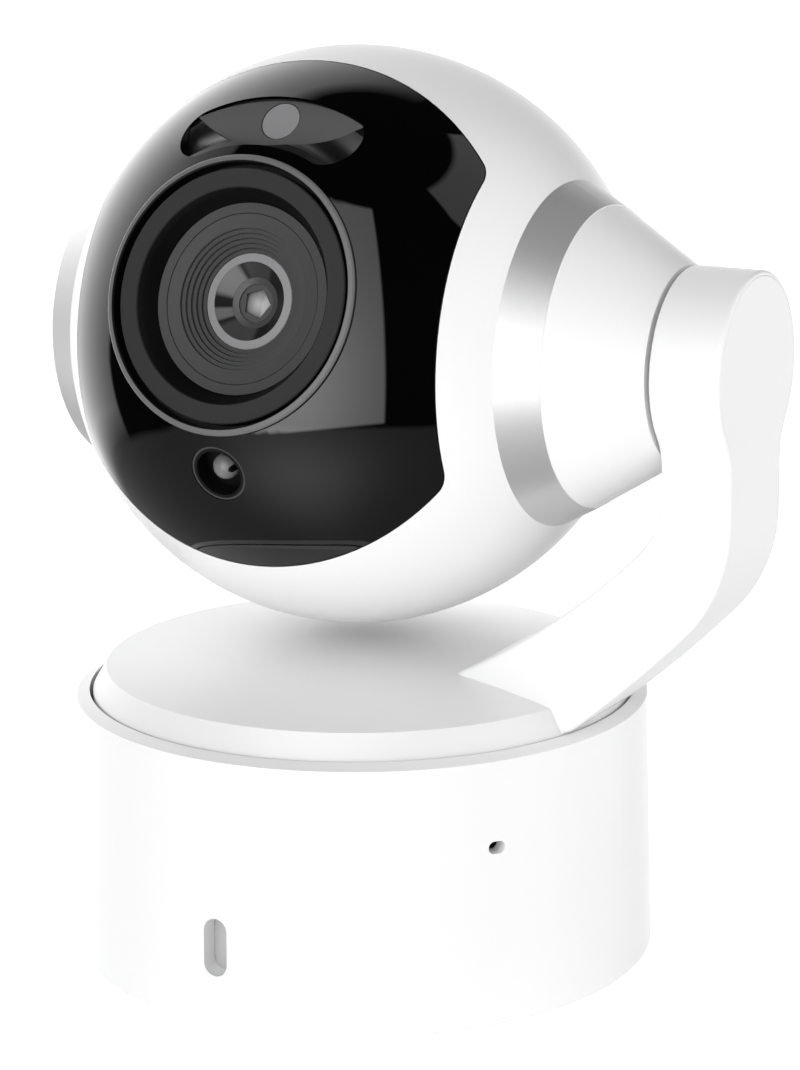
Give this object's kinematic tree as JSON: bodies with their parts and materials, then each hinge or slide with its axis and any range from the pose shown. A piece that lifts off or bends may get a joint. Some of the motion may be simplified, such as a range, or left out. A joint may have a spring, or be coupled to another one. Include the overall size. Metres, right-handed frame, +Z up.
{
  "type": "security camera",
  "caption": "White indoor pan-and-tilt security camera: a ball head with a glossy black visor and recessed lens, held by a one-sided curved arm on a turntable over a round base.",
  "frame": {"origin": "Centre of the underside, on the plane of the rubber ring that the camera stands on.", "axes": "+X points to the side that carries the arm, -Y is the front where the lens looks, +Z is up. The row is drawn at rest: lens straight ahead and 17.4 degrees above the horizon."},
  "size_m": [0.1023, 0.0838, 0.1295],
  "materials": {
    "white_shell": "satin white moulded plastic",
    "black_gloss": "polished black plastic",
    "silver_ring": "satin silver paint",
    "dark_bezel": "matt dark grey plastic",
    "grey_trim": "satin mid grey plastic",
    "lens_glass": "coated optical glass",
    "lamp_window": "dark infrared plastic",
    "light_diffuser": "milky diffuser plastic",
    "rubber": "matt grey rubber",
    "steel": "zinc plated steel",
    "brass": "turned brass",
    "board": "green circuit board",
    "gear_plastic": "natural acetal",
    "inner_black": "black moulded plastic"
  },
  "bodies": {
    "base": {"base_shell": "white_shell", "base_plate": "white_shell", "foot_ring": "rubber", "tripod_insert": "brass", "base_screws": "steel", "main_board": "board", "power_socket": "steel", "card_socket": "steel", "status_light": "light_diffuser", "microphone": "inner_black", "speaker": "inner_black", "glide_ring": "gear_plastic", "pan_motor": "steel", "motor_bracket": "steel", "bracket_screws": "steel"},
    "reset": {"reset_button": "inner_black"},
    "pan_drive": {"pan_pinion": "gear_plastic"},
    "yoke": {"pan_gear": "gear_plastic", "pan_spindle": "steel", "spindle_clip": "steel", "spindle_screws": "steel", "turntable": "white_shell", "arm_shell": "white_shell", "arm_cover": "white_shell", "arm_screws": "steel", "tilt_axle": "steel", "axle_screws": "steel", "tilt_gear": "gear_plastic", "axle_clip": "steel"},
    "head": {"front_shell": "white_shell", "rear_shell": "white_shell", "shell_screws": "steel", "visor": "black_gloss", "head_chassis": "inner_black", "chassis_screws": "steel", "side_ring_right": "silver_ring", "side_ring_left": "silver_ring", "left_cap": "white_shell", "hub_cone": "white_shell", "outer_bush": "gear_plastic", "inner_bush": "gear_plastic", "tilt_motor": "steel", "lens_trim_ring": "grey_trim", "lens_bezel": "dark_bezel", "lens_funnel": "dark_bezel", "lens_ring": "grey_trim", "lens_cone": "dark_bezel", "iris_plate": "dark_bezel", "front_element": "lens_glass", "lens_barrel": "inner_black", "camera_board": "board", "image_sensor": "black_gloss", "board_screws": "steel", "sensor_window": "black_gloss", "sensor_plate": "dark_bezel", "light_sensor": "grey_trim", "lamp_cup": "grey_trim", "infrared_lamp": "lamp_window"},
    "tilt_drive": {"tilt_pinion": "gear_plastic"}
  },
  "joints": [
    {"name": "pan", "type": "hinge", "parent": "base", "child": "yoke", "pos_m": [0, 0, 0.0325], "axis": [0, 0, 1], "range_deg": [-175, 175]},
    {"name": "tilt", "type": "hinge", "parent": "yoke", "child": "head", "pos_m": [0, 0, 0.089], "axis": [-1, 0, 0], "range_deg": [-37, 63]},
    {"name": "pan_motor_spin", "type": "hinge", "parent": "base", "child": "pan_drive", "pos_m": [-0.022, 0, 0.0285], "axis": [0, 0, 1], "range_deg": [-705, 705]},
    {"name": "tilt_motor_spin", "type": "hinge", "parent": "head", "child": "tilt_drive", "pos_m": [0.0285, 0.00875, 0.07682], "axis": [-1, 0, 0], "range_deg": [-205, 205]},
    {"name": "reset_press", "type": "slide", "parent": "base", "child": "reset", "axis": [0, -1, 0], "range_m": [0, 0.0006], "stiffness_N_per_m": 400, "springref_m": -0.0006}
  ],
  "couplings": [
    {"joint": "pan_motor_spin", "follows": "pan", "ratio": -4},
    {"joint": "tilt_motor_spin", "follows": "tilt", "ratio": 3.1667}
  ]
}
